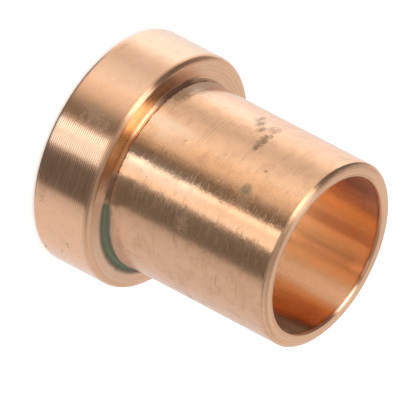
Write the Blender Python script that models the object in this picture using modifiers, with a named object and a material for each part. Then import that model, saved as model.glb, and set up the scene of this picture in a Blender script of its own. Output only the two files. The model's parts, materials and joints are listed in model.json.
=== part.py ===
"""Flanged bronze bushing, turned from one bar.

The part stands on its flange. The origin is the centre of the flange's back face,
and +Z runs along the axis towards the barrel's open end. Lengths are in metres.
"""
import math

import bpy

MM = 0.001

# Driving sizes. The barrel comes out 25.4 mm across and the flange 32.1 mm
BORE_DIAMETER = 21.4 * MM
BARREL_WALL = 2.0 * MM
BARREL_LENGTH = 25.6 * MM
SHOULDER_WIDTH = 3.35 * MM
FLANGE_THICKNESS = 9.1 * MM

# Edges. The root fillet is the nose radius of the tool that faced the shoulder
BARREL_END_RADIUS = 0.8 * MM
ROOT_FILLET_RADIUS = 0.35 * MM
FLANGE_FRONT_RADIUS = 0.8 * MM
FLANGE_BACK_RADIUS = 0.7 * MM
BORE_MOUTH_RADIUS = 0.35 * MM
BORE_LEAD_IN_CHAMFER = 0.4 * MM

# Faceting
TURN_STEPS = 96
EDGE_STEPS = 5
MERGE_DISTANCE = 0.00001
SHARP_ANGLE = math.radians(30)

# Finish
BRONZE_COLOUR = (0.72, 0.42, 0.26, 1.0)
BRONZE_ROUGHNESS = 0.22
BRONZE_METALLIC = 1.0

# Radii and heights that follow from the driving sizes
bore_radius = BORE_DIAMETER / 2
barrel_radius = bore_radius + BARREL_WALL
flange_radius = barrel_radius + SHOULDER_WIDTH
shoulder_height = FLANGE_THICKNESS
end_height = FLANGE_THICKNESS + BARREL_LENGTH


def clear_scene():
    """Remove what the file opened with."""
    for old in list(bpy.data.objects):
        bpy.data.objects.remove(old, do_unlink=True)


def make_collection(name):
    """A collection in the scene that holds the part."""
    collection = bpy.data.collections.new(name)
    bpy.context.scene.collection.children.link(collection)
    return collection


def make_bronze():
    """Bright turned bronze."""
    bronze = bpy.data.materials.new("bronze")
    bronze.use_nodes = True
    shader = bronze.node_tree.nodes["Principled BSDF"]
    shader.inputs["Base Color"].default_value = BRONZE_COLOUR
    shader.inputs["Metallic"].default_value = BRONZE_METALLIC
    shader.inputs["Roughness"].default_value = BRONZE_ROUGHNESS
    return bronze


def arc(centre_radius, centre_height, edge_radius, start_degrees, sweep_degrees):
    """Points of a round edge in the profile, as (radius, height) pairs.

    A positive sweep runs anticlockwise, seen with the radius to the right and +Z up.
    """
    points = []
    for step in range(EDGE_STEPS + 1):
        angle = math.radians(start_degrees + sweep_degrees * step / EDGE_STEPS)
        radius = centre_radius + edge_radius * math.cos(angle)
        height = centre_height + edge_radius * math.sin(angle)
        points.append((radius, height))
    return points


def barrel_end():
    """The open end's rounded outer edge, from its flat face to the barrel's side."""
    centre_radius = barrel_radius - BARREL_END_RADIUS
    centre_height = end_height - BARREL_END_RADIUS
    return arc(centre_radius, centre_height, BARREL_END_RADIUS, 90, -90)


def barrel_root():
    """The hollow fillet where the barrel meets the shoulder."""
    centre_radius = barrel_radius + ROOT_FILLET_RADIUS
    centre_height = shoulder_height + ROOT_FILLET_RADIUS
    return arc(centre_radius, centre_height, ROOT_FILLET_RADIUS, 180, 90)


def flange_rims():
    """The flange's two rounded rims, from the shoulder to the back face."""
    front_radius = flange_radius - FLANGE_FRONT_RADIUS
    front_height = shoulder_height - FLANGE_FRONT_RADIUS
    front = arc(front_radius, front_height, FLANGE_FRONT_RADIUS, 90, -90)
    back_radius = flange_radius - FLANGE_BACK_RADIUS
    back = arc(back_radius, FLANGE_BACK_RADIUS, FLANGE_BACK_RADIUS, 0, -90)
    return front + back


def bore_lead_in():
    """The chamfer that leads into the bore at the flange's back face."""
    foot = (bore_radius + BORE_LEAD_IN_CHAMFER, 0.0)
    top = (bore_radius, BORE_LEAD_IN_CHAMFER)
    return [foot, top]


def bore_mouth():
    """The bore's rounded edge at the open end, from its wall to the flat face."""
    centre_radius = bore_radius + BORE_MOUTH_RADIUS
    centre_height = end_height - BORE_MOUTH_RADIUS
    return arc(centre_radius, centre_height, BORE_MOUTH_RADIUS, 180, -90)


def turn(name, profile, collection):
    """Turn a closed profile of (radius, height) points about the Z axis."""
    points = [(radius, 0.0, height) for radius, height in profile]
    count = len(points)
    edges = [(index, (index + 1) % count) for index in range(count)]
    mesh = bpy.data.meshes.new(name)
    mesh.from_pydata(points, edges, [])
    turned = bpy.data.objects.new(name, mesh)
    collection.objects.link(turned)
    screw = turned.modifiers.new("turn", "SCREW")
    screw.axis = "Z"
    screw.angle = math.tau
    screw.steps = TURN_STEPS
    screw.render_steps = TURN_STEPS
    screw.use_merge_vertices = True
    screw.merge_threshold = MERGE_DISTANCE
    screw.use_smooth_shade = True
    return turned


def apply_modifiers(thing):
    """Keep the evaluated mesh, so that its sharp edges can be marked."""
    graph = bpy.context.evaluated_depsgraph_get()
    evaluated = thing.evaluated_get(graph)
    mesh = bpy.data.meshes.new_from_object(evaluated)
    mesh.name = thing.name
    thing.modifiers.clear()
    thing.data = mesh


def main():
    clear_scene()
    collection = make_collection("flanged_bushing")
    outside = barrel_end() + barrel_root() + flange_rims()
    inside = bore_lead_in() + bore_mouth()
    bushing = turn("bushing", outside + inside, collection)
    apply_modifiers(bushing)
    bushing.data.shade_smooth()
    bushing.data.set_sharp_from_angle(angle=SHARP_ANGLE)
    bushing.data.materials.append(make_bronze())


main()
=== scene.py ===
# %% [markdown]
# # A turned bronze bushing
#
# A bushing is a plain bearing: a sleeve with a flange on one end that sits in a
# housing and lets a shaft turn in its bore. This one was turned from a single bar of
# bronze on a lathe, so every surface is round about one axis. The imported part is
# loaded first. It fixes the sizes and the place of the bushing, which stands on its
# flange with the Z axis running up through the bore.

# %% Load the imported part
import json
import math
from collections import namedtuple
from types import SimpleNamespace

import bpy
from mathutils import Matrix, Vector


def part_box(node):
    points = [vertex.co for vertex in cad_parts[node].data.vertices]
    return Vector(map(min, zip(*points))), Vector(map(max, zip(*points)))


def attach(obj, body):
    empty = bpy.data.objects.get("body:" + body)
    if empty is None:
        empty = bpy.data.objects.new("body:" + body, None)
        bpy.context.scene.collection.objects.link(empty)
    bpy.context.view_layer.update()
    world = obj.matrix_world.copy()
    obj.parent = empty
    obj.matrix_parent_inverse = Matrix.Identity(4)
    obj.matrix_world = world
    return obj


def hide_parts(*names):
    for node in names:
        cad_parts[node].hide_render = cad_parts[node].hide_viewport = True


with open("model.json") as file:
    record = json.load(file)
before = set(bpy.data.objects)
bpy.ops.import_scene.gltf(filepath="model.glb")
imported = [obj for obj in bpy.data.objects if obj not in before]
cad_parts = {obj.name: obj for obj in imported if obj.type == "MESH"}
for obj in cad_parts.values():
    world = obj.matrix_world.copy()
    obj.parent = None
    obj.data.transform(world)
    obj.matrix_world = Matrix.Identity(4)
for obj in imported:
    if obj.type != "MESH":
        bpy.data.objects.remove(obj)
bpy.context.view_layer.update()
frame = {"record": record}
scene = bpy.context.scene
scene.view_settings.view_transform = "Standard"

# %% [markdown]
# ## Sizes
#
# The overall diameter, the length and the height of the shoulder are read from the
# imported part, so the two always agree. The rest are the sizes a turner would be
# given: the wall, the width of the shoulder, the rounding of the flange's two rims,
# the mouth of the bore and the chamfer at its other end.

# %% Name the sizes
MM = 0.001
low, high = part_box("bushing")
mounts = {mount["name"]: mount for mount in frame["record"]["mounts"]}

FLANGE_RADIUS = high[0]
END_HEIGHT = high[2]
SHOULDER_HEIGHT = mounts["shoulder"]["pos_m"][2]
SHOULDER_WIDTH = 3.35 * MM
BARREL_WALL = 2.0 * MM
BARREL_RADIUS = FLANGE_RADIUS - SHOULDER_WIDTH
BORE_RADIUS = BARREL_RADIUS - BARREL_WALL

FLANGE_FRONT_RADIUS = 0.8 * MM
FLANGE_BACK_RADIUS = 0.7 * MM
MOUTH_ACROSS = 0.30 * MM
MOUTH_ALONG = 0.50 * MM
LEAD_IN_CHAMFER = 0.4 * MM
print("barrel", 2 * BARREL_RADIUS, "bore", 2 * BORE_RADIUS, "flange", 2 * FLANGE_RADIUS)

# %% [markdown]
# ## Camera
#
# The picture looks down on the open end with a long lens, and the camera is rolled,
# so that the bushing seems to lie on its side. Three directions describe the view:
# one from the bushing towards the camera, one to the right of the picture and one up
# it. Written as the columns of a matrix they are the camera's rotation. That is
# easier to reason about than three turned angles.

# %% Place the camera
VIEW_TILT = math.radians(61.02)
VIEW_ROLL = math.radians(27.67)
VIEW_DISTANCE = 1.411
FARTHEST_SEEN = 20
PIXELS_PER_METRE = 7967
PICTURE_PIXELS = 415
SENSOR_WIDTH_MM = 36
AIM_RIGHT = 1.54 * MM
AIM_UP = 0.97 * MM

towards_camera = Vector((0, -math.sin(VIEW_TILT), math.cos(VIEW_TILT)))
along_axis = Vector((0, math.cos(VIEW_TILT), math.sin(VIEW_TILT)))
across = along_axis.cross(towards_camera)
picture_right = math.cos(VIEW_ROLL) * along_axis - math.sin(VIEW_ROLL) * across
picture_up = -math.sin(VIEW_ROLL) * along_axis - math.cos(VIEW_ROLL) * across

camera_data = bpy.data.cameras.new("camera")
camera_data.sensor_width = SENSOR_WIDTH_MM
camera_data.lens = SENSOR_WIDTH_MM * PIXELS_PER_METRE * VIEW_DISTANCE / PICTURE_PIXELS
camera_data.clip_end = FARTHEST_SEEN
camera = bpy.data.objects.new("camera", camera_data)
scene.collection.objects.link(camera)
middle = Vector((0, 0, END_HEIGHT / 2))
place = middle + VIEW_DISTANCE * towards_camera - AIM_RIGHT * picture_right - AIM_UP * picture_up
turned = Matrix((picture_right, picture_up, towards_camera)).transposed()
camera.matrix_world = Matrix.Translation(place) @ turned.to_4x4()
scene.camera = camera
print("lens", camera_data.lens, "mm, camera at", place)

# %% [markdown]
# ## Node helpers
#
# Materials here are worked out from the place on the bushing: its height, its
# distance from the axis and the angle round it. That takes a good deal of arithmetic,
# and a node for each step of it. A few small helpers keep this readable. Each adds
# its nodes, wires them up and hands back the output. Most changes over the surface
# are soft steps. A step is written as (start, stop), or as (start, stop, value
# before, value after), and a span as its two ends and how soft they are.


# %% Helpers that add one node
def put(tree, value, socket):
    """Wire an output into a socket, or write a plain number or colour on it."""
    if isinstance(value, bpy.types.NodeSocket):
        tree.links.new(value, socket)
    else:
        socket.default_value = value


def maths(tree, operation, *values):
    """One Math node."""
    node = tree.nodes.new("ShaderNodeMath")
    node.operation = operation
    for value, socket in zip(values, node.inputs):
        put(tree, value, socket)
    return node.outputs[0]


def mix_colour(tree, share, first, second, blend="MIX"):
    """Blend two colours."""
    node = tree.nodes.new("ShaderNodeMix")
    node.data_type = "RGBA"
    node.blend_type = blend
    put(tree, share, node.inputs["Factor"])
    put(tree, first, node.inputs["A"])
    put(tree, second, node.inputs["B"])
    return node.outputs["Result"]


def mix_number(tree, share, first, second):
    """Blend two numbers."""
    node = tree.nodes.new("ShaderNodeMix")
    node.data_type = "FLOAT"
    put(tree, share, node.inputs["Factor"])
    put(tree, first, node.inputs["A"])
    put(tree, second, node.inputs["B"])
    return node.outputs["Result"]


# %% Arithmetic in words
def times(tree, first, *others):
    """Multiply values together."""
    for other in others:
        first = maths(tree, "MULTIPLY", first, other)
    return first


def plus(tree, first, *others):
    """Add values together."""
    for other in others:
        first = maths(tree, "ADD", first, other)
    return first


def less(tree, first, second):
    """Take the second value from the first."""
    return maths(tree, "SUBTRACT", first, second)


def largest(tree, first, *others):
    """The largest of several values."""
    for other in others:
        first = maths(tree, "MAXIMUM", first, other)
    return first


# %% Soft steps
Span = namedtuple("Span", "start stop soft")


def smooth(tree, value, start, stop, low_value=0.0, high_value=1.0):
    """Ease from low_value to high_value while value goes from start to stop."""
    node = tree.nodes.new("ShaderNodeMapRange")
    node.interpolation_type = "SMOOTHSTEP"
    for given, socket in zip((value, start, stop, low_value, high_value), node.inputs):
        put(tree, given, socket)
    return node.outputs[0]


def fall(tree, value, start, stop):
    """Ease from 1 to 0 while value goes from start to stop."""
    return smooth(tree, value, start, stop, 1.0, 0.0)


def between(tree, value, span):
    """1 inside a span and 0 outside it, with soft ends."""
    risen = smooth(tree, value, span.start - span.soft, span.start + span.soft)
    not_fallen = fall(tree, value, span.stop - span.soft, span.stop + span.soft)
    return times(tree, risen, not_fallen)


# %% Places, noise and greys
def vector_of(tree, x, y, z):
    """Join three numbers into a vector."""
    node = tree.nodes.new("ShaderNodeCombineXYZ")
    for value, socket in zip((x, y, z), node.inputs):
        put(tree, value, socket)
    return node.outputs[0]


def cloud(tree, where, detail):
    """Noise between 0 and 1, read at a place."""
    node = tree.nodes.new("ShaderNodeTexNoise")
    put(tree, where, node.inputs["Vector"])
    node.inputs["Scale"].default_value = 1.0
    node.inputs["Detail"].default_value = detail
    return node.outputs["Fac"]


def angle_round(tree, x, y):
    """The angle round the Z axis, in degrees from -180 to 180."""
    return maths(tree, "DEGREES", maths(tree, "ARCTAN2", y, x))


def grey(level):
    """A grey of the given level, as a colour."""
    return (level, level, level, 1)


# %% [markdown]
# ## Studio
#
# Bare metal has no colour of its own to show in flat light: it shows what stands
# round it. A studio for small bright parts is a ring of white cards with dark gaps,
# and every stripe along this barrel is one of those cards or gaps. Lamps could be
# placed one by one instead, but a list is shorter: each pair in it is a direction
# round the table, in degrees, and the brightness seen there. The cards change on
# the way up, so there are three rings, for level, raised and steep directions. A fan
# of cards hangs overhead, with its middle set back from the bushing, and the ground
# right under the part is dark.

# %% Describe the rings of cards
LOW_RING = [
    (-180, 0.97), (-174, 0.88), (-166, 0.90), (-158, 1.03), (-150, 1.12), (-142, 1.22),
    (-134, 1.28), (-118, 0.95), (-110, 0.56), (-103, 0.28), (-91, 0.24), (-88, 2.00),
    (-84, 1.75), (-79, 1.20), (-71, 1.42), (-66, 1.38), (-64, 0.32), (-55, 0.22),
    (-38, 0.19), (-31, 0.20), (-28, 0.56), (-20, 0.67), (-6, 0.78), (14, 0.78),
    (80, 0.86), (98, 1.00), (114, 1.04), (132, 1.26), (150, 1.40), (166, 1.40),
    (175, 1.08), (180, 0.97),
]
HIGH_RING = [
    (-180, 0.20), (-160, 0.16), (-154, 0.40), (-150, 1.15), (-134, 1.25), (-118, 1.15),
    (-108, 0.80), (-102, 0.30), (-94, 0.26), (-91, 0.62), (-70, 0.60), (-67, 0.28),
    (-60, 0.42), (-26, 0.46), (-4, 0.60), (20, 0.78), (75, 0.85), (110, 0.85),
    (122, 0.62), (134, 0.24), (160, 0.16), (180, 0.20),
]
TOP_RING = [
    (-180, 0.22), (-162, 0.24), (-156, 0.75), (-149, 2.10), (-133, 2.80), (-118, 2.90),
    (-109, 0.60), (-101, 0.32), (-94, 0.30), (-91, 0.66), (-70, 0.64), (-66, 0.30),
    (-26, 0.32), (-4, 0.58), (20, 0.78), (75, 0.86), (110, 0.86), (122, 0.64),
    (134, 0.24), (160, 0.16), (180, 0.20),
]
OVERHEAD_FAN = [
    (-180, 0.60), (-166, 0.55), (-158, 0.18), (-132, 0.20), (-124, 0.34), (-120, 2.00),
    (-110, 2.40), (-102, 2.10), (-98, 0.52), (-84, 0.50), (-77, 0.50), (-64, 0.48),
    (-57, 0.68), (0, 0.76),
]
for name, ring in (("low", LOW_RING), ("high", HIGH_RING), ("top", TOP_RING), ("fan", OVERHEAD_FAN)):
    brightest = max(level for degrees, level in ring)
    print(name, "ring:", len(ring), "stops, brightest", brightest)

# %% Turn a ring into a colour ramp
# A ramp holds shares up to 1, and WHITE_LEVEL is the brightness that 1 stands for
WHITE_LEVEL = 3.2
HALF_TURN = 180.0
WHOLE_TURN = 360.0


def ring_of_cards(tree, degrees, ring):
    """A colour ramp that holds one ring: brightness by angle round the table."""
    share = maths(tree, "DIVIDE", plus(tree, degrees, HALF_TURN), WHOLE_TURN)
    ramp = tree.nodes.new("ShaderNodeValToRGB")
    put(tree, share, ramp.inputs["Fac"])
    stops = ramp.color_ramp.elements
    while len(stops) > 1:
        stops.remove(stops[-1])
    for index, (angle, level) in enumerate(ring):
        position = (angle + HALF_TURN) / WHOLE_TURN
        stop = stops[0] if index == 0 else stops.new(position)
        stop.position = position
        stop.color = grey(level / WHITE_LEVEL)
    return ramp.outputs["Color"]


# %% Warm one side of the rings
WHITE = grey(1)
WARM_LIGHT = (1.0, 0.91, 0.81, 1)
WARM_RISE = (-142, -126)
WARM_FALL = (-93, -91)


def warm_side(tree, degrees):
    """The cards on one side are lit by a warmer lamp."""
    share = times(tree, smooth(tree, degrees, *WARM_RISE), fall(tree, degrees, *WARM_FALL))
    return mix_colour(tree, share, WHITE, WARM_LIGHT)


# %% Pick the card that lies in a direction
LOW_TO_HIGH = (-0.10, 0.08)
HIGH_TO_TOP = (0.24, 0.40)
TOP_TO_OVERHEAD = (0.66, 0.84)
DARK_GROUND = (-0.93, -0.72)
GROUND_LEVEL = 0.24
FAN_BACK = 0.875


def cards_seen(tree, x, y, z):
    """What a reflected ray sees: rings from low to high, the fan above and a dark ground."""
    degrees = angle_round(tree, x, y)
    low_cards = ring_of_cards(tree, degrees, LOW_RING)
    high_cards = ring_of_cards(tree, degrees, HIGH_RING)
    top_cards = ring_of_cards(tree, degrees, TOP_RING)
    cards = mix_colour(tree, smooth(tree, z, *LOW_TO_HIGH), low_cards, high_cards)
    cards = mix_colour(tree, smooth(tree, z, *HIGH_TO_TOP), cards, top_cards)
    cards = mix_colour(tree, 1.0, cards, warm_side(tree, degrees), "MULTIPLY")
    fan_degrees = angle_round(tree, x, less(tree, y, FAN_BACK))
    overhead_cards = ring_of_cards(tree, fan_degrees, OVERHEAD_FAN)
    cards = mix_colour(tree, smooth(tree, z, *TOP_TO_OVERHEAD), cards, overhead_cards)
    ground = grey(GROUND_LEVEL / WHITE_LEVEL)
    return mix_colour(tree, fall(tree, z, *DARK_GROUND), cards, ground)


# %% [markdown]
# ## Room light
#
# Only reflected rays see the cards. Every other ray sees a plain white room, which
# lights the floor and the thin films on the metal softly and from all sides. One
# world does both: the Light Path node tells the two kinds of ray apart.

# %% Light the room
ROOM_LEVEL = 1.0

world = bpy.data.worlds.new("studio")
world.use_nodes = True
scene.world = world
tree = world.node_tree
tree.nodes.clear()
split = tree.nodes.new("ShaderNodeSeparateXYZ")
put(tree, tree.nodes.new("ShaderNodeTexCoord").outputs["Generated"], split.inputs[0])
cards_light = tree.nodes.new("ShaderNodeBackground")
put(tree, cards_seen(tree, *split.outputs), cards_light.inputs["Color"])
cards_light.inputs["Strength"].default_value = WHITE_LEVEL
room_light = tree.nodes.new("ShaderNodeBackground")
room_light.inputs["Color"].default_value = WHITE
room_light.inputs["Strength"].default_value = ROOM_LEVEL
ray = tree.nodes.new("ShaderNodeLightPath")
choose = tree.nodes.new("ShaderNodeMixShader")
put(tree, ray.outputs["Is Glossy Ray"], choose.inputs["Fac"])
put(tree, room_light.outputs[0], choose.inputs[1])
put(tree, cards_light.outputs[0], choose.inputs[2])
out = tree.nodes.new("ShaderNodeOutputWorld")
put(tree, choose.outputs[0], out.inputs["Surface"])
print("studio world:", len(tree.nodes), "nodes")

# %% [markdown]
# ## Floor
#
# The floor is one pale sheet. It takes the bushing's soft shadow, and a little light
# of its own for the camera keeps it white, as a lit table is in a product picture.
# The metal doesn't see the floor: it sees the cards.

# %% Lay the floor
FLOOR_SIZE = 6.0
FLOOR_DROP = 0.00002
FLOOR_GLOW = 0.45
PAPER_LEVEL = 0.82

bpy.ops.mesh.primitive_plane_add(size=FLOOR_SIZE, location=(0, 0, low[2] - FLOOR_DROP))
floor = bpy.context.object
floor.name = "floor"
floor.visible_glossy = False

paper = bpy.data.materials.new("white_paper")
paper.use_nodes = True
tree = paper.node_tree
tree.nodes.clear()
matt = tree.nodes.new("ShaderNodeBsdfDiffuse")
matt.inputs["Color"].default_value = grey(PAPER_LEVEL)
glow = tree.nodes.new("ShaderNodeEmission")
ray = tree.nodes.new("ShaderNodeLightPath")
put(tree, times(tree, ray.outputs["Is Camera Ray"], FLOOR_GLOW), glow.inputs["Strength"])
both = tree.nodes.new("ShaderNodeAddShader")
put(tree, matt.outputs[0], both.inputs[0])
put(tree, glow.outputs[0], both.inputs[1])
out = tree.nodes.new("ShaderNodeOutputMaterial")
put(tree, both.outputs[0], out.inputs["Surface"])
floor.data.materials.append(paper)
print("floor at height", floor.location.z, "metres")

# %% [markdown]
# ## The turned shape
#
# A lathe makes a solid of revolution, so the model starts as half a section: a chain
# of points, each a distance from the axis and a height. It could be a cylinder with
# bevels, but the light shows every small change of an edge, and in a section each
# edge is an arc with a size of its own. The open end's outer edge is an oval, wide
# across and short along, as if rubbed down by hand.

# %% Round edges and straight runs
ARC_STEPS = 12
BEVEL_STEPS = 24
RUN_STEP = 0.6 * MM


def arc(centre_radius, centre_height, edge_radius, start_degrees, sweep_degrees,
        across_share=1.0, steps=ARC_STEPS):
    """Points of a round edge, or of an oval one. A positive sweep runs anticlockwise."""
    points = []
    for step in range(steps + 1):
        angle = math.radians(start_degrees + sweep_degrees * step / steps)
        radius = centre_radius + across_share * edge_radius * math.cos(angle)
        points.append((radius, centre_height + edge_radius * math.sin(angle)))
    return points


def with_runs(corners):
    """Add points along each straight run of a closed chain, about RUN_STEP apart."""
    points = []
    for here, there in zip(corners, corners[1:] + corners[:1]):
        length = math.dist(here, there)
        pieces = max(1, round(length / RUN_STEP))
        for piece in range(pieces):
            share = piece / pieces
            radius = here[0] + (there[0] - here[0]) * share
            points.append((radius, here[1] + (there[1] - here[1]) * share))
    return points


# %% [markdown]
# ## The root of the barrel
#
# Where the barrel meets the shoulder, the facing tool stopped. Its round nose left a
# small hollow that runs smoothly into the shoulder, cuts in under the barrel by a
# hair, and meets it in a crisp line. Just above that line the barrel flares out by a
# fifth of a millimetre. A plain fillet would be simpler, but then the thin bright
# streak round the root would be missing.

# %% The hollow and the flare above it
ROOT_NOSE_RADIUS = 0.42 * MM
ROOT_START_DEGREES = 158
ROOT_STOP_DEGREES = 270
FLARE_STEPS = 10
FLARE_LENGTH = 1.6 * MM
FLARE_WIDTH = 0.19 * MM
FLARE_POWER = 1.5


def barrel_root():
    """The hollow at the barrel's root, from the crisp line down to the shoulder."""
    lean = math.cos(math.radians(ROOT_START_DEGREES))
    centre_radius = BARREL_RADIUS + FLARE_WIDTH - ROOT_NOSE_RADIUS * lean
    centre_height = SHOULDER_HEIGHT + ROOT_NOSE_RADIUS
    sweep = ROOT_STOP_DEGREES - ROOT_START_DEGREES
    return arc(centre_radius, centre_height, ROOT_NOSE_RADIUS, ROOT_START_DEGREES, sweep)


ROOT_HEIGHT = barrel_root()[0][1]


def root_flare():
    """The barrel's slight flare towards its root, from the top down."""
    points = []
    for step in range(FLARE_STEPS):
        share = step / FLARE_STEPS
        height = ROOT_HEIGHT + FLARE_LENGTH * (1 - share)
        points.append((BARREL_RADIUS + FLARE_WIDTH * share ** FLARE_POWER, height))
    return points


print("the barrel starts at height", ROOT_HEIGHT, "metres")

# %% Join the whole section
BEVEL_ACROSS = 1.15 * MM
BEVEL_ALONG = 0.58 * MM


def end_bevel():
    """The barrel's end edge, rubbed round, from the end face to the side."""
    return arc(BARREL_RADIUS - BEVEL_ACROSS, END_HEIGHT - BEVEL_ALONG, BEVEL_ALONG,
               90, -90, BEVEL_ACROSS / BEVEL_ALONG, BEVEL_STEPS)


def flange_rims():
    """The flange's two rounded rims, from the shoulder to the back face."""
    front = arc(FLANGE_RADIUS - FLANGE_FRONT_RADIUS, SHOULDER_HEIGHT - FLANGE_FRONT_RADIUS,
                FLANGE_FRONT_RADIUS, 90, -90)
    back = arc(FLANGE_RADIUS - FLANGE_BACK_RADIUS, FLANGE_BACK_RADIUS, FLANGE_BACK_RADIUS, 0, -90)
    return front + back


def bore_ends():
    """The chamfer at the bore's foot and its worn mouth."""
    lead_in = [(BORE_RADIUS + LEAD_IN_CHAMFER, 0.0), (BORE_RADIUS, LEAD_IN_CHAMFER)]
    mouth = arc(BORE_RADIUS + MOUTH_ACROSS, END_HEIGHT - MOUTH_ALONG,
                MOUTH_ALONG, 180, -90, MOUTH_ACROSS / MOUTH_ALONG)
    return lead_in + mouth


section = with_runs(end_bevel() + root_flare() + barrel_root() + flange_rims() + bore_ends())
print("points in the section:", len(section))

# %% [markdown]
# ## Spinning it
#
# The Screw modifier turns the chain of points round the Z axis, as the lathe turns
# the bar under the tool. The result is kept as a plain mesh, because the next steps
# sort its faces into surfaces. Corners sharper than 20 degrees stay crisp: those are
# the line at the root and the chamfer in the bore.

# %% Spin the section round the axis
SPIN_STEPS = 384
SEAM_GAP = 0.001 * MM
SHARP_CORNER = math.radians(20)


def spin(name, points):
    """Turn a closed chain of (radius, height) points into a solid."""
    count = len(points)
    places = [(radius, 0.0, height) for radius, height in points]
    edges = [(index, (index + 1) % count) for index in range(count)]
    chain = bpy.data.meshes.new(name)
    chain.from_pydata(places, edges, [])
    thing = bpy.data.objects.new(name, chain)
    scene.collection.objects.link(thing)
    screw = thing.modifiers.new("turn", "SCREW")
    screw.steps = SPIN_STEPS
    screw.render_steps = SPIN_STEPS
    screw.use_merge_vertices = True
    screw.merge_threshold = SEAM_GAP
    screw.use_smooth_shade = True
    graph = bpy.context.evaluated_depsgraph_get()
    solid = bpy.data.meshes.new_from_object(thing.evaluated_get(graph))
    solid.name = name
    thing.modifiers.clear()
    thing.data = solid
    solid.set_sharp_from_angle(angle=SHARP_CORNER)
    return thing


turned_bushing = spin("turned_bushing", section)
print("faces:", len(turned_bushing.data.polygons))

# %% [markdown]
# ## Where a point lies on the part
#
# Turning marks follow the tool: round the axis, and evenly spaced along the surface.
# So the materials don't use a flat picture. They use the height, the distance from
# the axis and the angle round it, in millimetres and degrees, worked out from the
# point's own place. Height minus radius counts along a cylinder and across a flat
# face alike, so one pattern of grooves serves both.

# %% Find height, radius and angle
BARREL_RADIUS_MM = BARREL_RADIUS / MM
SHOULDER_HEIGHT_MM = SHOULDER_HEIGHT / MM
END_HEIGHT_MM = END_HEIGHT / MM
Spot = namedtuple("Spot", "height radius angle east north across")


def spot_on_part(tree):
    """Where the shaded point lies, in millimetres and degrees."""
    split = tree.nodes.new("ShaderNodeSeparateXYZ")
    put(tree, tree.nodes.new("ShaderNodeTexCoord").outputs["Object"], split.inputs[0])
    x, y, z = split.outputs
    length = tree.nodes.new("ShaderNodeVectorMath")
    length.operation = "LENGTH"
    put(tree, vector_of(tree, x, y, 0.0), length.inputs[0])
    distance = length.outputs["Value"]
    height = times(tree, z, 1 / MM)
    radius = times(tree, distance, 1 / MM)
    east = maths(tree, "DIVIDE", x, distance)
    north = maths(tree, "DIVIDE", y, distance)
    return Spot(height, radius, angle_round(tree, x, y), east, north, less(tree, height, radius))


print("in millimetres, shoulder at", SHOULDER_HEIGHT_MM, "and open end at", END_HEIGHT_MM)

# %% [markdown]
# ## Grooves and noise round the axis
#
# A lathe tool leaves a groove for each turn of the bar, a few tenths of a millimetre
# apart. Everything that came later, such as polish, rubbing and tarnish, is drawn out
# round the part too. Noise read at stretched places gives that. Each material lists
# the noises that it needs by name, with how fine each is round the axis (per radian)
# and across it (per millimetre), and how much detail it has.


# %% Noise and grooves that run round the axis
def ring_noise(tree, spot, round_scale, across_scale, detail):
    """Noise drawn out round the axis."""
    east = times(tree, spot.east, round_scale)
    north = times(tree, spot.north, round_scale)
    along = times(tree, spot.across, across_scale)
    return cloud(tree, vector_of(tree, east, north, along), detail)


def weave(tree, spot, grains):
    """One noise for each name in a table of grains."""
    return SimpleNamespace(**{name: ring_noise(tree, spot, *grain) for name, grain in grains.items()})


Grooves = namedtuple("Grooves", "pitch half_width depth")


def feed_grooves(tree, spot, grooves):
    """A narrow groove at each turn of the tool's feed. All sizes are in millimetres."""
    turns = maths(tree, "DIVIDE", spot.across, grooves.pitch)
    place = less(tree, maths(tree, "FRACT", turns), 0.5)
    off_centre = times(tree, maths(tree, "ABSOLUTE", place), grooves.pitch)
    return smooth(tree, off_centre, 0.0, grooves.half_width, 0.0, grooves.depth)


def hair_lines(tree, noise, half_width, depth):
    """Thin scratches where the noise crosses its middle. The depth is in millimetres."""
    away = maths(tree, "ABSOLUTE", less(tree, noise, 0.5))
    return smooth(tree, away, 0.0, half_width, 0.0, depth)

# %% [markdown]
# ## Handling marks
#
# Nothing off a shop shelf is spotless. Grey-brown smears and small dark specks sit on
# the barrel and the flange. They could be painted on a picture and wrapped round, but
# a short list is easier to move about. Each mark is a ragged oval, given by its angle
# in degrees, its height in millimetres, its half sizes, how ragged it is and how
# strongly it covers, and it is broken up by noise.

# %% A ragged oval and a list of them
Mark = namedtuple("Mark", "angle height half_angle half_height ragged strength")
RAGGED_PUSH = 3.0
OVAL_EDGE = (-0.4, 1.6)


def ragged_oval(tree, spot, mark, wobble):
    """1 inside a ragged oval on a turned surface, 0 outside."""
    sideways = maths(tree, "DIVIDE", less(tree, spot.angle, mark.angle), mark.half_angle)
    upward = maths(tree, "DIVIDE", less(tree, spot.height, mark.height), mark.half_height)
    squares = plus(tree, times(tree, sideways, sideways), times(tree, upward, upward))
    push = times(tree, less(tree, wobble, 0.5), RAGGED_PUSH * mark.ragged)
    return fall(tree, plus(tree, squares, push), *OVAL_EDGE)


def smears_of(tree, spot, marks, wobble):
    """The strongest of a list of marks at the shaded point."""
    ovals = [times(tree, ragged_oval(tree, spot, mark, wobble), mark.strength) for mark in marks]
    return largest(tree, *ovals)


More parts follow.
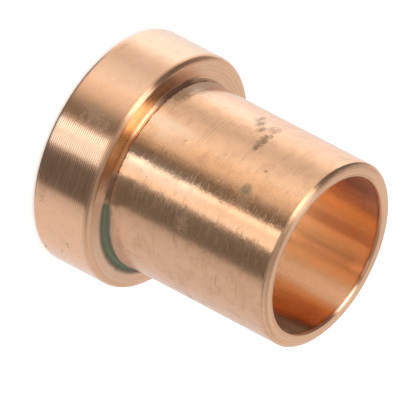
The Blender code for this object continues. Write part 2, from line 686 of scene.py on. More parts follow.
BARREL_SMEARS = [
    Mark(-153, 20.4, 5.0, 0.40, 1.2, 0.55), Mark(-148, 21.2, 5.0, 0.50, 1.2, 0.60),
    Mark(-143, 22.2, 4.5, 0.50, 1.2, 0.70), Mark(-147, 23.3, 6.0, 0.80, 1.5, 0.50),
    Mark(-135, 23.9, 7.0, 0.65, 1.2, 0.90), Mark(-129, 24.0, 3.8, 0.50, 0.8, 1.00),
    Mark(-101.5, 26.9, 4.4, 0.85, 0.6, 1.00), Mark(-95, 27.4, 5.0, 1.20, 1.5, 0.35),
    Mark(-68, 20.6, 6.0, 0.90, 2.0, 0.30), Mark(-117, 27.5, 1.2, 0.25, 1.0, 0.60),
    Mark(-104, 27.1, 3.0, 0.20, 0.6, 0.60), Mark(-111, 15.7, 0.8, 0.20, 1.0, 0.55),
    Mark(-115, 21.4, 0.8, 0.20, 1.0, 0.35), Mark(-44, 27.0, 5.0, 0.06, 0.5, 0.70),
    Mark(-47, 27.3, 3.5, 0.05, 0.5, 0.50), Mark(-53, 20.5, 2.0, 0.12, 1.0, 0.40),
    Mark(-11, 21.4, 4.0, 0.50, 2.5, 0.45), Mark(-139, 10.4, 9.0, 0.90, 0.7, 0.80),
    Mark(-45, 10.2, 8.0, 0.70, 0.8, 0.35),
]
FLANGE_SMEARS = [
    Mark(-55, 1.5, 5.0, 0.50, 4.0, 0.20), Mark(-17, 0.9, 1.2, 0.30, 1.0, 0.70),
    Mark(-135, 1.2, 4.0, 0.25, 3.0, 0.12), Mark(-30, 5.5, 2.0, 0.35, 2.5, 0.30),
    Mark(-22, 4.0, 1.5, 0.25, 2.0, 0.30), Mark(-98, 4.4, 4.0, 1.60, 2.5, 0.40),
    Mark(-96, 6.4, 3.0, 0.90, 2.0, 0.30),
]
print("marks on barrel and flange:", len(BARREL_SMEARS), "and", len(FLANGE_SMEARS))

# %% [markdown]
# ## Bronze
#
# Turned bronze is a mirror with fine grooves round it. A reflection stays sharp round
# the part and smears along it: that is what the Anisotropic setting does, with a
# tangent that runs round the axis, turned by a quarter. Each surface was cut by its own
# tool, so barrel, flange side, flat faces and bore get a bronze of their own, from one
# recipe. Where dirt, oil, verdigris or painted shade covers the metal, the Metallic value
# falls and the cover's own colour shows, dull, because FILM_GLOSS takes away its shine.

# %% Colours that several surfaces share
# Noise below the first number of HALF_AND_HALF gives one colour, above the second the other
BRONZE = (0.80, 0.47, 0.285, 1)
PINK_BRONZE = (0.82, 0.485, 0.32, 1)
# The next colour is a painted highlight, laid where the metal mirrors bright cards
HIGHLIGHT_BRONZE = (0.83, 0.585, 0.41, 1)
ROSE_BRONZE = (0.66, 0.355, 0.245, 1)
DULL_BRONZE = (0.66, 0.385, 0.23, 1)
TAN_FILM = (0.66, 0.43, 0.29, 1)
GRIME = (0.14, 0.115, 0.075, 1)
# The next colour is painted shade for the corner by the barrel
CREVICE_SHADE = (0.07, 0.03, 0.02, 1)
DARK_VERDIGRIS = (0.115, 0.130, 0.085, 1)
HALF_AND_HALF = (0.35, 0.65)
FILM_GLOSS = 0.0
QUARTER_TURN = 0.25


# %% The recipe for bronze
def start_bronze(name, roughness, anisotropy):
    """A new material with the shader's constants set and its tangent wired."""
    bronze = bpy.data.materials.new(name)
    bronze.use_nodes = True
    tree = bronze.node_tree
    shader = tree.nodes["Principled BSDF"]
    shader.inputs["Metallic"].default_value = 1.0
    shader.inputs["Roughness"].default_value = roughness
    shader.inputs["Anisotropic"].default_value = anisotropy
    shader.inputs["Anisotropic Rotation"].default_value = QUARTER_TURN
    shader.inputs["Specular IOR Level"].default_value = FILM_GLOSS
    tangent = tree.nodes.new("ShaderNodeTangent")
    tangent.direction_type = "RADIAL"
    tangent.axis = "Z"
    put(tree, tangent.outputs[0], shader.inputs["Tangent"])
    return bronze, tree, shader


def finish_bronze(tree, shader, colour, cover, roughness, relief):
    """Wire what varies over a surface. The relief is a height in millimetres."""
    put(tree, colour, shader.inputs["Base Color"])
    put(tree, less(tree, 1.0, cover), shader.inputs["Metallic"])
    put(tree, roughness, shader.inputs["Roughness"])
    bump = tree.nodes.new("ShaderNodeBump")
    bump.inputs["Strength"].default_value = 1.0
    bump.inputs["Distance"].default_value = MM
    put(tree, relief, bump.inputs["Height"])
    put(tree, bump.outputs[0], shader.inputs["Normal"])


# %% [markdown]
# ## The barrel's colour
#
# The barrel is what the housing grips, so it was turned smooth, and then handled. It
# could be one flat colour, but bare metal that has been held and oiled never is. The
# barrel is pink, with painted warm light that turns its front golden, dull streaks that
# run round it and a few pale stretches that are painted highlights. So a few colours lie
# over one another, each where a noise or a span of angles lets it through.

# %% Mix the barrel's colour
# The next colour is painted warm light, laid on the barrel's front
WARM_LIT_BRONZE = (0.81, 0.475, 0.275, 1)
BARREL_GRAINS = {
    "lines": (3.0, 7.0, 3.0), "broad": (6.0, 0.5, 3.0), "mottle": (12.0, 1.0, 4.0),
    "grain": (75.0, 6.0, 2.0), "fleck": (70.0, 7.0, 2.0), "wobble": (26.0, 1.6, 4.0),
    "hairs": (1.3, 3.0, 1.0), "dashes": (9.0, 5.0, 2.0), "rubbed": (18.0, 8.0, 2.0),
}
WARM_LIT_SPAN = Span(-143.0, -58.0, 8.0)
PINK_DRIFT = (-0.2, 0.2)
DULL_PLACES = (0.40, 0.68)
DULL_LINES = (0.1, 0.8)
DULL_GRAIN = (0.5, 0.75, 0.0, 0.35)
BARREL_MOTTLE = (0.50, 0.70, 0.0, 0.28)
# Pale stretches are painted highlights, where the barrel mirrors bright cards
PAINTED_HIGHLIGHTS = [
    (Span(-119.0, -104.0, 3.0), (12.0, 19.0), 0.8), (Span(-156.0, -144.0, 5.0), (18.0, 27.0), 0.8),
    (Span(-94.0, -82.0, 2.0), (16.0, 26.0), 0.7),
]


def barrel_colour(tree, spot, noise):
    """Pink, golden at the front with painted warm light, with dull streaks and painted highlights."""
    pinkness = less(tree, 1.0, between(tree, spot.angle, WARM_LIT_SPAN))
    pinkness = plus(tree, pinkness, smooth(tree, noise.lines, *HALF_AND_HALF, *PINK_DRIFT))
    colour = mix_colour(tree, pinkness, WARM_LIT_BRONZE, PINK_BRONZE)
    dullness = times(tree, smooth(tree, noise.broad, *DULL_PLACES),
                     smooth(tree, noise.lines, *HALF_AND_HALF, *DULL_LINES))
    dullness = plus(tree, dullness, smooth(tree, noise.grain, *DULL_GRAIN))
    colour = mix_colour(tree, dullness, colour, DULL_BRONZE)
    for span, fading_heights, share in PAINTED_HIGHLIGHTS:
        highlight = smooth(tree, spot.height, *fading_heights, share, 0.0)
        highlight = times(tree, between(tree, spot.angle, span), highlight)
        colour = mix_colour(tree, highlight, colour, HIGHLIGHT_BRONZE)
    return mix_colour(tree, smooth(tree, noise.mottle, *BARREL_MOTTLE), colour, ROSE_BRONZE)


# %% Dirt on the barrel
SMEAR_STREAKS = (0.36, 0.62, 0.55, 1.0)
SMEAR_COVER = 0.9
BARREL_SPECKS = (0.71, 0.77)
SPECK_PLACES = (0.4, 0.7, 0.0, 0.8)


def barrel_dirt(tree, spot, noise):
    """How much of the metal the smears and the dark specks cover."""
    smears = smears_of(tree, spot, BARREL_SMEARS, noise.wobble)
    smears = times(tree, smears, smooth(tree, noise.grain, *SMEAR_STREAKS), SMEAR_COVER)
    specks = times(tree, smooth(tree, noise.fleck, *BARREL_SPECKS),
                   smooth(tree, noise.broad, *SPECK_PLACES))
    return largest(tree, smears, specks)


# %% [markdown]
# ## Painted shade at the barrel's root
#
# Brown painted shade lies on the barrel just above the corner with the shoulder, and
# thins out up the barrel, higher on the sides than at the front. The corner itself holds
# a dark line of painted shade. On the side with the green stain the line is wider and
# green with verdigris. Height above the root says where each ends, so it follows the
# corner exactly.

# %% Lay the root's painted shade
# The next colour is painted shade on the barrel just above the root
ROOT_SHADE = (0.52, 0.36, 0.27, 1)
FRONT_SPAN = Span(-142.0, -54.0, 12.0)
REACH_ON_ONE_SIDE = (-55.0, -15.0, 1.2, 4.0)
REACH_ON_THE_OTHER = (-168.0, -135.0, 2.6, 0.0)
ROOT_SHADE_COVER = 0.85
# The dark line in the corner is painted shade, and on the stained side it turns to verdigris
CORNER_RAGGED = -0.4
CORNER_LINE = (-0.16, -0.06, 0.85, 0.0)
STAINED_LINE = (0.0, 0.45, 0.85, 0.0)
STAINED_SPAN = Span(-57.0, 12.0, 4.0)
SHADE_TO_GREEN = (-60.0, -56.0)


def above_root(tree, spot):
    """The height above the crisp line at the barrel's root."""
    return less(tree, spot.height, ROOT_HEIGHT / MM)


def root_shade_and_verdigris(tree, spot, noise, colour):
    """Painted shade above the root and in its corner, verdigris on one side: the new colour, and how much
    is covered.
    """
    rise = above_root(tree, spot)
    reach = plus(tree, smooth(tree, spot.angle, *REACH_ON_ONE_SIDE),
                 smooth(tree, spot.angle, *REACH_ON_THE_OTHER))
    sides = less(tree, 1.0, between(tree, spot.angle, FRONT_SPAN))
    halo = times(tree, smooth(tree, rise, 0.0, reach, ROOT_SHADE_COVER, 0.0), sides)
    colour = mix_colour(tree, halo, colour, ROOT_SHADE)
    line = plus(tree, rise, times(tree, noise.wobble, CORNER_RAGGED))
    stained = times(tree, smooth(tree, line, *STAINED_LINE), between(tree, spot.angle, STAINED_SPAN))
    corner = largest(tree, smooth(tree, line, *CORNER_LINE), stained)
    turning_green = smooth(tree, spot.angle, *SHADE_TO_GREEN)
    root_corner_shade = mix_colour(tree, turning_green, CREVICE_SHADE, DARK_VERDIGRIS)
    return mix_colour(tree, corner, colour, root_corner_shade), largest(tree, halo, corner)


# %% [markdown]
# ## The barrel's sheen and relief
#
# The edges of the bright and dark stripes on a turned barrel are never clean: short
# rough dashes and a rubbed grain break them up. Rough dashes blur a reflection and
# relief bends it, so both are used, most of all along the edges of the dark stripes.
# The relief is far too fine to see as a shape, so it is bump and not geometry.

# %% The barrel's roughness
BARREL_ROUGHNESS = 0.19
BARREL_ANISOTROPY = 0.88
LINE_ROUGHNESS = (0.5, 0.75, BARREL_ROUGHNESS, BARREL_ROUGHNESS + 0.06)
DASHES = (0.56, 0.66)
DASH_ROUGHNESS = 0.5
WORN_EVERYWHERE = 0.2
WORN_SPANS = [(Span(-105.0, -93.0, 3.0), 0.7), (Span(-77.0, -66.0, 3.0), 0.4)]
ROOT_ROUGHNESS = 0.13
ROOT_SMOOTH = (2.0, 3.2)
BARREL_DIRT_ROUGHNESS = 0.55


def barrel_roughness(tree, spot, noise, dirt):
    """Smooth at the root, rough in dashes and dull where there is dirt."""
    rough = smooth(tree, noise.lines, *LINE_ROUGHNESS)
    worn = WORN_EVERYWHERE
    for span, share in WORN_SPANS:
        worn = plus(tree, worn, times(tree, between(tree, spot.angle, span), share))
    dashes = times(tree, smooth(tree, noise.dashes, *DASHES), worn)
    rough = mix_number(tree, dashes, rough, DASH_ROUGHNESS)
    near_root = fall(tree, above_root(tree, spot), *ROOT_SMOOTH)
    rough = mix_number(tree, near_root, rough, ROOT_ROUGHNESS)
    return mix_number(tree, dirt, rough, BARREL_DIRT_ROUGHNESS)


# %% The barrel's relief, in millimetres
BARREL_GROOVES = Grooves(0.17, 0.05, 0.002)
SCRATCH_HALF_WIDTH = 0.05
SCRATCH_DEPTH = 0.005
SCRATCH_PLACES = (0.48, 0.60)
RUBBED_EVERYWHERE = 0.0008
RAGGED_SPANS = [(Span(-103.0, -95.0, 2.5), 0.016), (Span(-75.0, -67.0, 2.0), 0.007)]
BARREL_LINE_HEIGHT = 0.0015
BARREL_WAVE_HEIGHT = 0.004


def barrel_relief(tree, spot, noise):
    """Feed grooves, scratches, a rubbed grain and a slow wave."""
    scratches = times(tree, hair_lines(tree, noise.hairs, SCRATCH_HALF_WIDTH, SCRATCH_DEPTH),
                      smooth(tree, noise.broad, *SCRATCH_PLACES))
    rubbed = RUBBED_EVERYWHERE
    for span, depth in RAGGED_SPANS:
        rubbed = plus(tree, rubbed, times(tree, between(tree, spot.angle, span), depth))
    return plus(tree, feed_grooves(tree, spot, BARREL_GROOVES), scratches,
                times(tree, noise.rubbed, rubbed),
                times(tree, noise.lines, BARREL_LINE_HEIGHT),
                times(tree, noise.broad, BARREL_WAVE_HEIGHT))


# %% Put the barrel's bronze together
def mix_barrel_bronze():
    """Bright turned bronze with smears, specks and a film in the corner at the root."""
    bronze, tree, shader = start_bronze("barrel_bronze", BARREL_ROUGHNESS, BARREL_ANISOTROPY)
    spot = spot_on_part(tree)
    noise = weave(tree, spot, BARREL_GRAINS)
    dirt = barrel_dirt(tree, spot, noise)
    colour = mix_colour(tree, dirt, barrel_colour(tree, spot, noise), GRIME)
    colour, shade_and_verdigris_cover = root_shade_and_verdigris(tree, spot, noise, colour)
    rough = barrel_roughness(tree, spot, noise, dirt)
    relief = barrel_relief(tree, spot, noise)
    finish_bronze(tree, shader, colour, largest(tree, dirt, shade_and_verdigris_cover), rough, relief)
    return bronze


barrel_bronze = mix_barrel_bronze()
print("barrel bronze:", len(barrel_bronze.node_tree.nodes), "nodes")

# %% [markdown]
# ## The flange's side
#
# The flange only rests against things, so its side was cut faster: its feed marks are
# coarser and can be counted. It could share the barrel's bronze, but its tints lie in
# other places, and each groove holds a little dirt in its valley. The tints are painted
# light: a list of spans with a colour each, laid one over the other, brighter, warmer
# and paler where the side mirrors bright and warm cards, and darker in a stripe and on
# the rim where it mirrors dark gaps. Some spans run right up to the seam at 180 degrees,
# so they are given an end well past it. Two slow swells, as on a part that is a hair
# out of round, shift what the side mirrors.

# %% Painted light on the flange's side
FLANGE_GRAINS = {
    "lines": (4.0, 8.0, 3.0), "broad": (5.0, 0.6, 3.0), "mottle": (15.0, 1.0, 4.0),
    "fleck": (80.0, 4.0, 2.0), "wobble": (30.0, 1.6, 4.0),
}
PAST_SEAM = 400.0
# The next two colours are painted light: brighter and warmer bronze where the side mirrors brighter and
# warmer cards
BRIGHT_LIT_BRONZE = (0.97, 0.575, 0.375, 1)
WARM_LIT_FLANGE_BRONZE = (0.835, 0.515, 0.33, 1)
# The next colour is a painted dark reflection, in a stripe down the flange's side
DARK_REFLECTION_BRONZE = (0.42, 0.24, 0.15, 1)
# The next colour is a painted dark reflection on the flange's front rim
RIM_DARK_REFLECTION = (0.74, 0.40, 0.25, 1)
# Each span paints light on the side: brighter and warmer bronze, and pale highlights
PAINTED_SIDE_LIGHT = [
    (Span(-57.0, PAST_SEAM, 3.0), BRIGHT_LIT_BRONZE), (Span(-PAST_SEAM, -140.0, 6.0), HIGHLIGHT_BRONZE),
    (Span(148.0, PAST_SEAM, 28.0), HIGHLIGHT_BRONZE), (Span(-127.0, -94.0, 3.0), WARM_LIT_FLANGE_BRONZE),
    (Span(-90.5, -78.0, 1.5), HIGHLIGHT_BRONZE),
]
SIDE_TOP = (SHOULDER_HEIGHT_MM - 1.1, SHOULDER_HEIGHT_MM - 0.7)
DARK_REFLECTION_SPAN = Span(-76.0, -58.5, 2.0)
DARK_REFLECTION_LINES = (0.35, 0.6, 0.15, 0.6)
FLANGE_MOTTLE = (0.50, 0.70, 0.0, 0.22)
RIM_START = (SHOULDER_HEIGHT_MM - 0.9, SHOULDER_HEIGHT_MM - 0.6)
RIM_SPAN = Span(-166.0, -124.0, 6.0)


def flange_colour(tree, spot, noise):
    """Painted light round the flange's side: spans of brighter, paler, warmer and darker bronze, and a
    darker rim.
    """
    colour = mix_colour(tree, smooth(tree, noise.broad, *HALF_AND_HALF), BRONZE, PINK_BRONZE)
    on_side = fall(tree, spot.height, *SIDE_TOP)
    for span, lit_tint in PAINTED_SIDE_LIGHT:
        share = times(tree, between(tree, spot.angle, span), on_side)
        colour = mix_colour(tree, share, colour, lit_tint)
    # A painted dark reflection: the stripe where the side mirrors a dark gap between cards
    dark_reflection = times(tree, between(tree, spot.angle, DARK_REFLECTION_SPAN), smooth(tree, noise.lines, *DARK_REFLECTION_LINES))
    colour = mix_colour(tree, dark_reflection, colour, DARK_REFLECTION_BRONZE)
    colour = mix_colour(tree, smooth(tree, noise.mottle, *FLANGE_MOTTLE), colour, ROSE_BRONZE)
    # The front rim is darkened on one side: a painted dark reflection
    rim_reflection = times(tree, smooth(tree, spot.height, *RIM_START), between(tree, spot.angle, RIM_SPAN))
    return mix_colour(tree, rim_reflection, colour, RIM_DARK_REFLECTION)


# %% Put the flange side's bronze together
FLANGE_ROUGHNESS = 0.16
FLANGE_ANISOTROPY = 0.85
FLANGE_DIRT_ROUGHNESS = 0.55
FLANGE_GROOVES = Grooves(0.30, 0.075, 0.013)
SHALLOWER_GROOVES = (-68.0, -54.0, 1.0, 0.35)
VALLEY_DIRT = 0.35
LIP_START = (SHOULDER_HEIGHT_MM - 0.4, SHOULDER_HEIGHT_MM - 0.1)
LIP_SPAN = Span(-60.0, 20.0, 14.0)
LIP_COVER = 0.6
FLANGE_SMEAR_COVER = 0.85
FLANGE_SPECKS = (0.70, 0.80, 0.0, 0.6)
OUT_OF_ROUND = [(-118.0, -88.0, 0.20, 0.0), (-70.0, -46.0, 0.0, 0.17)]
FINE_LINE_HEIGHT = 0.001
FINE_WAVE_HEIGHT = 0.002


def mix_flange_bronze():
    """Coarse feed marks with dirty valleys, a tan film on the lip and a few scuffs."""
    bronze, tree, shader = start_bronze("flange_bronze", FLANGE_ROUGHNESS, FLANGE_ANISOTROPY)
    spot = spot_on_part(tree)
    noise = weave(tree, spot, FLANGE_GRAINS)
    grooves = feed_grooves(tree, spot, FLANGE_GROOVES)
    valleys = less(tree, 1.0, maths(tree, "DIVIDE", grooves, FLANGE_GROOVES.depth))
    colour = flange_colour(tree, spot, noise)
    colour = mix_colour(tree, times(tree, valleys, VALLEY_DIRT), colour, DULL_BRONZE)
    lip = times(tree, smooth(tree, spot.height, *LIP_START), between(tree, spot.angle, LIP_SPAN), LIP_COVER)
    colour = mix_colour(tree, lip, colour, TAN_FILM)
    smears = times(tree, smears_of(tree, spot, FLANGE_SMEARS, noise.wobble), FLANGE_SMEAR_COVER)
    dirt = largest(tree, smears, smooth(tree, noise.fleck, *FLANGE_SPECKS))
    colour = mix_colour(tree, dirt, colour, GRIME)
    cover = largest(tree, dirt, lip)
    rough = mix_number(tree, cover, FLANGE_ROUGHNESS, FLANGE_DIRT_ROUGHNESS)
    relief = times(tree, grooves, smooth(tree, spot.angle, *SHALLOWER_GROOVES))
    for swell in OUT_OF_ROUND:
        relief = plus(tree, relief, smooth(tree, spot.angle, *swell))
    relief = plus(tree, relief, times(tree, noise.lines, FINE_LINE_HEIGHT),
                  times(tree, noise.broad, FINE_WAVE_HEIGHT))
    finish_bronze(tree, shader, colour, cover, rough, relief)
    return bronze


flange_bronze = mix_flange_bronze()
print("flange bronze:", len(flange_bronze.node_tree.nodes), "nodes")

# %% [markdown]
# ## The flat faces
#
# The shoulder and the open end were faced: the tool moved towards the axis and left
# rings. One bronze serves both faces, and height tells them apart. The end face has
# painted shade in two rings, one at each edge, darker on one side. On the shoulder the
# front is painted golden, and the hollow at the root is painted orange on one side:
# painted reflections of the barrel, which the metal there mirrors.

# %% Tints on the flat faces
# The next colour is painted shade on the end face's two rings
END_SHADE = (0.61, 0.35, 0.215, 1)
# The next two colours are painted reflections of the barrel on the shoulder
SHOULDER_GOLD_REFLECTION = (0.87, 0.57, 0.30, 1)
HOLLOW_ORANGE_REFLECTION = (0.74, 0.36, 0.16, 1)
FACE_GRAINS = {
    "lines": (3.0, 6.0, 3.0), "broad": (4.0, 1.2, 3.0), "fleck": (50.0, 5.0, 2.0),
    "wobble": (12.0, 1.2, 2.0), "fine_wobble": (12.0, 3.0, 3.0), "rings": (0.8, 6.0, 2.0),
}
DULL_RINGS = (0.42, 0.62, 0.0, 0.6)
END_FACE_START = (END_HEIGHT_MM - 2.0, END_HEIGHT_MM - 1.5)
OUTER_RING = (BARREL_RADIUS_MM - 0.95, BARREL_RADIUS_MM - 0.6)
INNER_RING = (BARREL_RADIUS_MM - 1.6, BARREL_RADIUS_MM - 1.3)
SHADE_SIDE = (-30.0, 10.0, 1.0, 0.1)
SHADE_BY_SEAM = (165.0, 180.0, 0.1, 1.0)
SHADE_RAGGED = (0.35, 0.6, 0.6, 1.0)
GOLD_REFLECTION_SPAN = Span(-124.0, -79.0, 4.0)
PAST_HOLLOW = (BARREL_RADIUS_MM + 0.4, BARREL_RADIUS_MM + 0.6)
ORANGE_REFLECTION_SPAN = Span(-98.0, -76.0, 3.0)
HOLLOW_EDGE = (BARREL_RADIUS_MM + 0.5, BARREL_RADIUS_MM + 0.8)


def end_face_shade(tree, spot, noise):
    """Where the painted shade in the end face's two rings lies."""
    on_end = smooth(tree, spot.height, *END_FACE_START)
    rings = largest(tree, smooth(tree, spot.radius, *OUTER_RING), fall(tree, spot.radius, *INNER_RING))
    side = largest(tree, smooth(tree, spot.angle, *SHADE_SIDE), smooth(tree, spot.angle, *SHADE_BY_SEAM))
    return times(tree, rings, side, on_end, smooth(tree, noise.fine_wobble, *SHADE_RAGGED))


def face_colour(tree, spot, noise, on_shoulder):
    """Turned rings, the end face's painted shade, and painted gold and orange reflections on the shoulder.
    """
    colour = mix_colour(tree, smooth(tree, noise.lines, *HALF_AND_HALF), BRONZE, PINK_BRONZE)
    colour = mix_colour(tree, smooth(tree, noise.rings, *DULL_RINGS), colour, DULL_BRONZE)
    colour = mix_colour(tree, end_face_shade(tree, spot, noise), colour, END_SHADE)
    gold_reflection = times(tree, between(tree, spot.angle, GOLD_REFLECTION_SPAN), on_shoulder,
                 smooth(tree, spot.radius, *PAST_HOLLOW))
    colour = mix_colour(tree, gold_reflection, colour, SHOULDER_GOLD_REFLECTION)
    orange_reflection = times(tree, between(tree, spot.angle, ORANGE_REFLECTION_SPAN), on_shoulder,
                   fall(tree, spot.radius, *HOLLOW_EDGE))
    return mix_colour(tree, orange_reflection, colour, HOLLOW_ORANGE_REFLECTION)


# %% [markdown]
# ## The green stain
#
# Copper turns green where damp stays, and damp stays in the corner by the barrel.
# The verdigris lies in a band round part of the root and is wider towards one side.
# A brownish halo goes before it, and its inner part is the brighter green. It could be
# painted, but a band that is measured out from the barrel's wall, with its edge pushed
# about by noise, stays in place when a size changes.

# %% How far the verdigris reaches
VERDIGRIS = (0.155, 0.205, 0.138, 1)
STAIN_WIDTH = (-60.0, -26.0, 0.50, 0.88)
STAIN_RAGGED = 0.3
STAIN_SPAN = Span(-57.0, 24.0, 2.0)
STAIN_EDGE = (-0.25, 0.25)
HALO_EDGE = (0.05, 0.6)
DARK_EDGE = (-0.45, 0.05)
DARK_PATCHES = (0.45, 0.70, 0.0, 0.4)
STAIN_HOLES = (0.30, 0.60, 0.60, 0.95)


def green_stain(tree, spot, noise, on_shoulder):
    """Shares of verdigris and of its brown halo, and the verdigris's own colour."""
    ragged = times(tree, less(tree, noise.wobble, 0.5), STAIN_RAGGED)
    reach = plus(tree, smooth(tree, spot.angle, *STAIN_WIDTH), ragged)
    past_edge = less(tree, less(tree, spot.radius, BARREL_RADIUS_MM), reach)
    stained = times(tree, between(tree, spot.angle, STAIN_SPAN), on_shoulder)
    green = times(tree, fall(tree, past_edge, *STAIN_EDGE), stained,
                  smooth(tree, noise.fine_wobble, *STAIN_HOLES))
    brown = times(tree, fall(tree, past_edge, *HALO_EDGE), stained)
    shade = plus(tree, smooth(tree, past_edge, *DARK_EDGE), smooth(tree, noise.wobble, *DARK_PATCHES))
    return green, brown, mix_colour(tree, shade, VERDIGRIS, DARK_VERDIGRIS)


# %% Painted shade in the corner and films on the shoulder
# Painted shade in the corner by the barrel, darkest on two sides
CREVICE_RAGGED = 0.5
CREVICE_EDGE = (0.65, 1.10)
CREVICE_SHADE_SPANS = [
    (Span(-156.0, -124.0, 7.0), 0.9), (Span(-76.0, -58.0, 4.0), 0.8),
    (Span(-98.0, -74.0, 3.0), 0.15),
]
# Further round, the film turns pale: painted light where the shoulder catches more light
PALE_LIT_FILM = (0.80, 0.58, 0.44, 1)
TAN_SPAN = Span(-68.0, 20.0, 10.0)
TAN_PLACES = (0.3, 0.6, 0.45, 0.7)
TAN_TO_LIT = (-52.0, -34.0)


def crevice_shade(tree, spot, noise, on_shoulder):
    """How much painted shade sits in the corner, by the side of the part."""
    near = less(tree, spot.radius, BARREL_RADIUS_MM)
    near = plus(tree, near, times(tree, noise.wobble, CREVICE_RAGGED))
    shares = [times(tree, between(tree, spot.angle, span), share) for span, share in CREVICE_SHADE_SPANS]
    return times(tree, fall(tree, near, *CREVICE_EDGE), on_shoulder, largest(tree, *shares))


def shoulder_film(tree, spot, noise, on_shoulder):
    """A thin film of old oil on the stained side, turning to painted light further round: share and colour.
    """
    share = times(tree, between(tree, spot.angle, TAN_SPAN), on_shoulder,
                  smooth(tree, noise.wobble, *TAN_PLACES))
    return share, mix_colour(tree, smooth(tree, spot.angle, *TAN_TO_LIT), TAN_FILM, PALE_LIT_FILM)


# %% Put the flat faces' bronze together
FACE_ROUGHNESS = 0.20
FACE_ANISOTROPY = 0.90
COVER_ROUGHNESS = 0.6
FACE_GROOVES = Grooves(0.26, 0.08, 0.008)
ON_SHOULDER = (SHOULDER_HEIGHT_MM + 1.0, SHOULDER_HEIGHT_MM + 1.4)
FACE_SPECKS = (0.71, 0.80, 0.0, 0.6)
BROWN_COVER = 0.75
FACE_LINE_HEIGHT = 0.006
FACE_RING_HEIGHT = 0.008
FACE_WAVE_HEIGHT = 0.01
CRUST_HEIGHT = 0.02


def mix_face_bronze():
    """Rings from facing cuts, with films, verdigris and painted shade by the barrel."""
    bronze, tree, shader = start_bronze("face_bronze", FACE_ROUGHNESS, FACE_ANISOTROPY)
    spot = spot_on_part(tree)
    noise = weave(tree, spot, FACE_GRAINS)
    on_shoulder = fall(tree, spot.height, *ON_SHOULDER)
    colour = face_colour(tree, spot, noise, on_shoulder)
    film, film_colour = shoulder_film(tree, spot, noise, on_shoulder)
    colour = mix_colour(tree, film, colour, film_colour)
    green, brown, green_colour = green_stain(tree, spot, noise, on_shoulder)
    dirt = largest(tree, times(tree, brown, BROWN_COVER), smooth(tree, noise.fleck, *FACE_SPECKS))
    colour = mix_colour(tree, dirt, colour, GRIME)
    colour = mix_colour(tree, green, colour, green_colour)
    face_corner_shade = crevice_shade(tree, spot, noise, on_shoulder)
    colour = mix_colour(tree, face_corner_shade, colour, CREVICE_SHADE)
    cover = largest(tree, dirt, film, green, face_corner_shade)
    rough = mix_number(tree, cover, FACE_ROUGHNESS, COVER_ROUGHNESS)
    relief = plus(tree, feed_grooves(tree, spot, FACE_GROOVES),
                  times(tree, noise.lines, FACE_LINE_HEIGHT),
                  times(tree, noise.rings, FACE_RING_HEIGHT),
                  times(tree, noise.broad, FACE_WAVE_HEIGHT),
                  times(tree, green, noise.wobble, CRUST_HEIGHT))
    finish_bronze(tree, shader, colour, cover, rough, relief)
    return bronze


face_bronze = mix_face_bronze()
print("face bronze:", len(face_bronze.node_tree.nodes), "nodes")

# %% [markdown]
# ## The bore
#
# The bore is where the shaft runs, and light bounces in it several times before it
# comes out again, so it looks deeper and redder than the outside. The renderer finds
# most of that by itself. The material adds the metal with a worn mouth, painted
# reflection stripes along it that tone it down in its outer part, and painted dark red
# shade on two sides near the mouth.

# %% Painted reflection stripes in the bore
BORE_BRONZE = (0.99, 0.69, 0.455, 1)
BORE_DEEP_BRONZE = (0.99, 0.665, 0.415, 1)
MOUTH_BRONZE = (0.80, 0.42, 0.24, 1)
BORE_GRAINS = {"lines": (8.0, 8.0, 3.0), "broad": (6.0, 0.4, 3.0), "fleck": (60.0, 6.0, 2.0)}
ReflectionStripe = namedtuple("ReflectionStripe", "span at_mouth colour")
# Each entry paints reflection stripes along the bore, in its outer part
BORE_REFLECTION_STRIPES = [
    ReflectionStripe(Span(30.0, 56.0, 4.0), 0.65, (0.61, 0.56, 0.61, 1)),
    ReflectionStripe(Span(89.0, 97.0, 2.0), 0.05, (0.74, 0.72, 0.76, 1)),
    ReflectionStripe(Span(98.0, 130.0, 3.0), 0.5, (0.90, 0.87, 0.87, 1)),
    ReflectionStripe(Span(108.0, 117.0, 2.0), 0.9, (0.78, 0.70, 0.74, 1)),
    ReflectionStripe(Span(131.0, 156.0, 5.0), 0.2, (0.75, 0.76, 0.85, 1)),
]
TONE_END = (8.0, 13.0)
TONE_START = (0.8, 3.0)
MOUTH_DEPTH = (0.35, 0.7)


def bore_colour(tree, spot, noise):
    """Bronze with painted reflection stripes, and the worn mouth."""
    depth = less(tree, END_HEIGHT_MM, spot.height)
    colour = mix_colour(tree, smooth(tree, noise.broad, *HALF_AND_HALF), BORE_BRONZE, BORE_DEEP_BRONZE)
    not_deep = fall(tree, depth, *TONE_END)
    for stripe in BORE_REFLECTION_STRIPES:
        inwards = smooth(tree, depth, *TONE_START, stripe.at_mouth, 1.0)
        share = times(tree, between(tree, spot.angle, stripe.span), not_deep, inwards)
        colour = mix_colour(tree, share, colour, stripe.colour, "MULTIPLY")
    return mix_colour(tree, fall(tree, depth, *MOUTH_DEPTH), colour, MOUTH_BRONZE)


# %% Painted shade near the mouth
BORE_SIDE_SHADE = (0.58, 0.16, 0.08, 1)
SIDE_SHADE_START = (END_HEIGHT_MM - 8.5, END_HEIGHT_MM - 6.0)
SIDE_SHADE_SPANS = [
    (Span(-8.0, 30.0, 8.0), 0.20), (Span(140.0, PAST_SEAM, 14.0), 0.50),
    (Span(-PAST_SEAM, -175.0, 5.0), 0.50),
]


def bore_side_shade(tree, spot):
    """How much painted dark red shade covers the metal, near the mouth and on two sides."""
    shares = [times(tree, between(tree, spot.angle, span), share) for span, share in SIDE_SHADE_SPANS]
    return times(tree, largest(tree, *shares), smooth(tree, spot.height, *SIDE_SHADE_START))


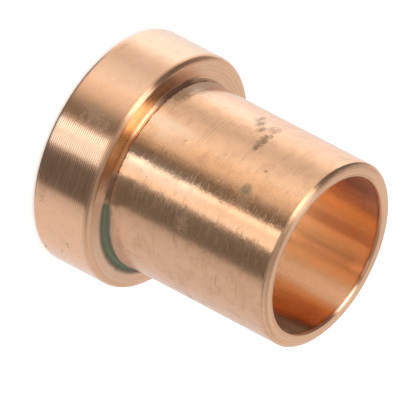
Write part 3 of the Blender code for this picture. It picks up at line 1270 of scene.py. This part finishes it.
# %% [markdown]
# ## Chatter in the bore
#
# A long thin boring bar trembles, and on one side of this bore it left a matt band.
# Elsewhere the boring marks are shallow and hardly show. In the band they are deep,
# so they spread the light along the bore, and a paler tint paints a highlight on the
# band, so it looks pale and soft. Roughness alone could do that, but its edge would be
# a hard line, while grooves that grow deeper give a soft one.

# %% Put the bore's bronze together
# The next colour is a painted highlight on the chatter band
CHATTER_HIGHLIGHT_BRONZE = (1.0, 0.80, 0.62, 1)
BORE_ROUGHNESS = 0.20
BORE_ANISOTROPY = 0.9
CHATTER_ROUGHNESS = 0.27
CHATTER_RISE = (53.0, 67.0)
CHATTER_FALL = (71.0, 89.0)
CHATTER_STREAKS = (0.30, 0.60, 0.8, 1.0)
CHATTER_HIGHLIGHT_SHARE = 0.9
BORE_GROOVES = Grooves(0.23, 0.033, 0.0145)
GROOVE_SHARE = (0.0, 1.0, 0.04, 0.9)
BORE_SPECKS = (0.70, 0.80, 0.0, 0.4)
SIDE_SHADE_STRENGTH = 1.5


def chatter_band(tree, spot, noise):
    """Where the boring bar chattered: 1 in the middle of the band."""
    return times(tree, smooth(tree, spot.angle, *CHATTER_RISE), fall(tree, spot.angle, *CHATTER_FALL),
                 smooth(tree, noise.lines, *CHATTER_STREAKS))


def mix_bore_bronze():
    """Boring marks that spread light along the bore, painted shade, and a band of chatter with a painted
    highlight.
    """
    bronze, tree, shader = start_bronze("bore_bronze", BORE_ROUGHNESS, BORE_ANISOTROPY)
    spot = spot_on_part(tree)
    noise = weave(tree, spot, BORE_GRAINS)
    specks = smooth(tree, noise.fleck, *BORE_SPECKS)
    colour = mix_colour(tree, specks, bore_colour(tree, spot, noise), GRIME)
    # Painted dark red shade on the bore's two sides near the mouth
    film = bore_side_shade(tree, spot)
    colour = mix_colour(tree, times(tree, film, SIDE_SHADE_STRENGTH), colour, BORE_SIDE_SHADE)
    chatter = chatter_band(tree, spot, noise)
    # The paler tint on the chatter band is a painted highlight
    colour = mix_colour(tree, times(tree, chatter, CHATTER_HIGHLIGHT_SHARE), colour, CHATTER_HIGHLIGHT_BRONZE)
    rough = mix_number(tree, chatter, BORE_ROUGHNESS, CHATTER_ROUGHNESS)
    grooves = times(tree, feed_grooves(tree, spot, BORE_GROOVES), smooth(tree, chatter, *GROOVE_SHARE))
    relief = plus(tree, grooves, times(tree, noise.lines, FINE_LINE_HEIGHT),
                  times(tree, noise.broad, FINE_WAVE_HEIGHT))
    finish_bronze(tree, shader, colour, largest(tree, specks, film), rough, relief)
    return bronze


bore_bronze = mix_bore_bronze()
print("bore bronze:", len(bore_bronze.node_tree.nodes), "nodes")

# %% [markdown]
# ## Sorting the faces
#
# The bushing is one solid with four bronzes on it. Each face gets the bronze of the
# surface that it lies on, and its middle's radius and height are enough to tell:
# close to the bore's wall, on the barrel, on the flange's side, or else on a flat
# face. That keeps the parts of the script that cut the metal and finish it apart.

# %% Give each face its bronze
BARREL_SLOT, FLANGE_SLOT, FACE_SLOT, BORE_SLOT = range(4)
END_FACE_EDGE = BARREL_RADIUS - 0.4 * MM
MOUTH_MIDDLE = BORE_RADIUS + MOUTH_ACROSS / 2


def surface_of(radius, height):
    """Which surface a face belongs to, from the place of its middle."""
    if radius < MOUTH_MIDDLE:
        return BORE_SLOT
    if height > ROOT_HEIGHT and radius > END_FACE_EDGE:
        return BARREL_SLOT
    if height < SHOULDER_HEIGHT and radius > FLANGE_RADIUS - FLANGE_FRONT_RADIUS:
        return FLANGE_SLOT
    return FACE_SLOT


solid = turned_bushing.data
for bronze in (barrel_bronze, flange_bronze, face_bronze, bore_bronze):
    solid.materials.append(bronze)
counts = [0, 0, 0, 0]
for face in solid.polygons:
    radius = math.hypot(face.center.x, face.center.y)
    face.material_index = surface_of(radius, face.center.z)
    counts[face.material_index] += 1
print("faces on barrel, flange side, flat faces and bore:", counts)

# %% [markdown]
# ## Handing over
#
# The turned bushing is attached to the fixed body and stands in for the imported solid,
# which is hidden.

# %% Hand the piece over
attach(turned_bushing, "root")
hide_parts("bushing")
